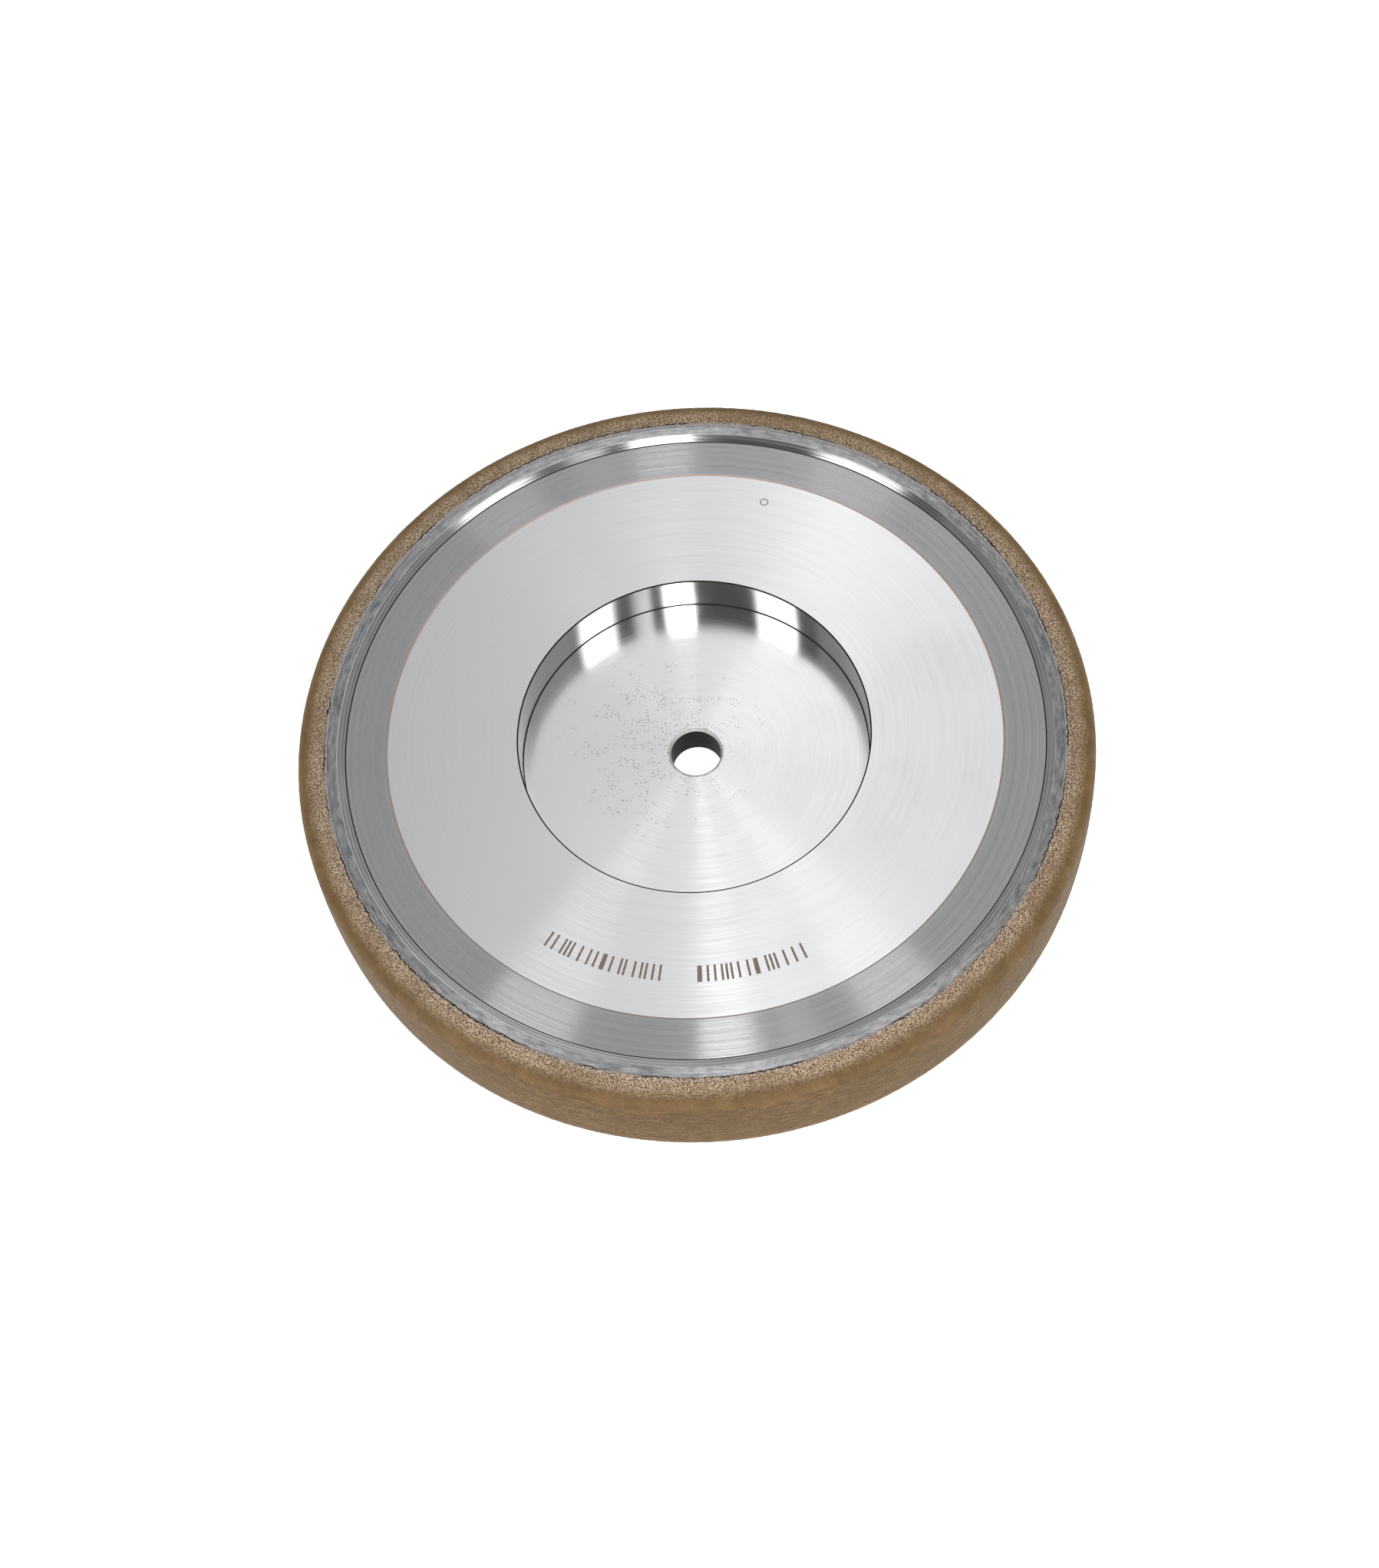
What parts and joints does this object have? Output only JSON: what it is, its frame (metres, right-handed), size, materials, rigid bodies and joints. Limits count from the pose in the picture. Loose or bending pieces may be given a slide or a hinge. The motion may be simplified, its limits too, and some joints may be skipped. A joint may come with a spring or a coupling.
{
  "type": "diamond grinding wheel",
  "caption": "Peripheral diamond grinding wheel: turned steel body with a deep counterbore and plain bore, a pressed carrier ring and a crowned bronze-bond rim.",
  "frame": {"origin": "centre of the wheel's back plane, on its spin axis", "axes": "+Z along the spin axis, from the back plane towards the counterbored front"},
  "size_m": [0.2, 0.2, 0.025],
  "materials": {
    "turned_steel": "fine turned and face-ground",
    "sintered_steel": "dull, as sintered",
    "copper_layer": "dull, without diamond",
    "bronze_diamond": "gritty sintered bronze with diamond"
  },
  "bodies": {
    "root": {"core_body": "turned_steel", "carrier_ring": "sintered_steel", "transition_layer": "copper_layer", "diamond_rim": "bronze_diamond"}
  },
  "joints": []
}
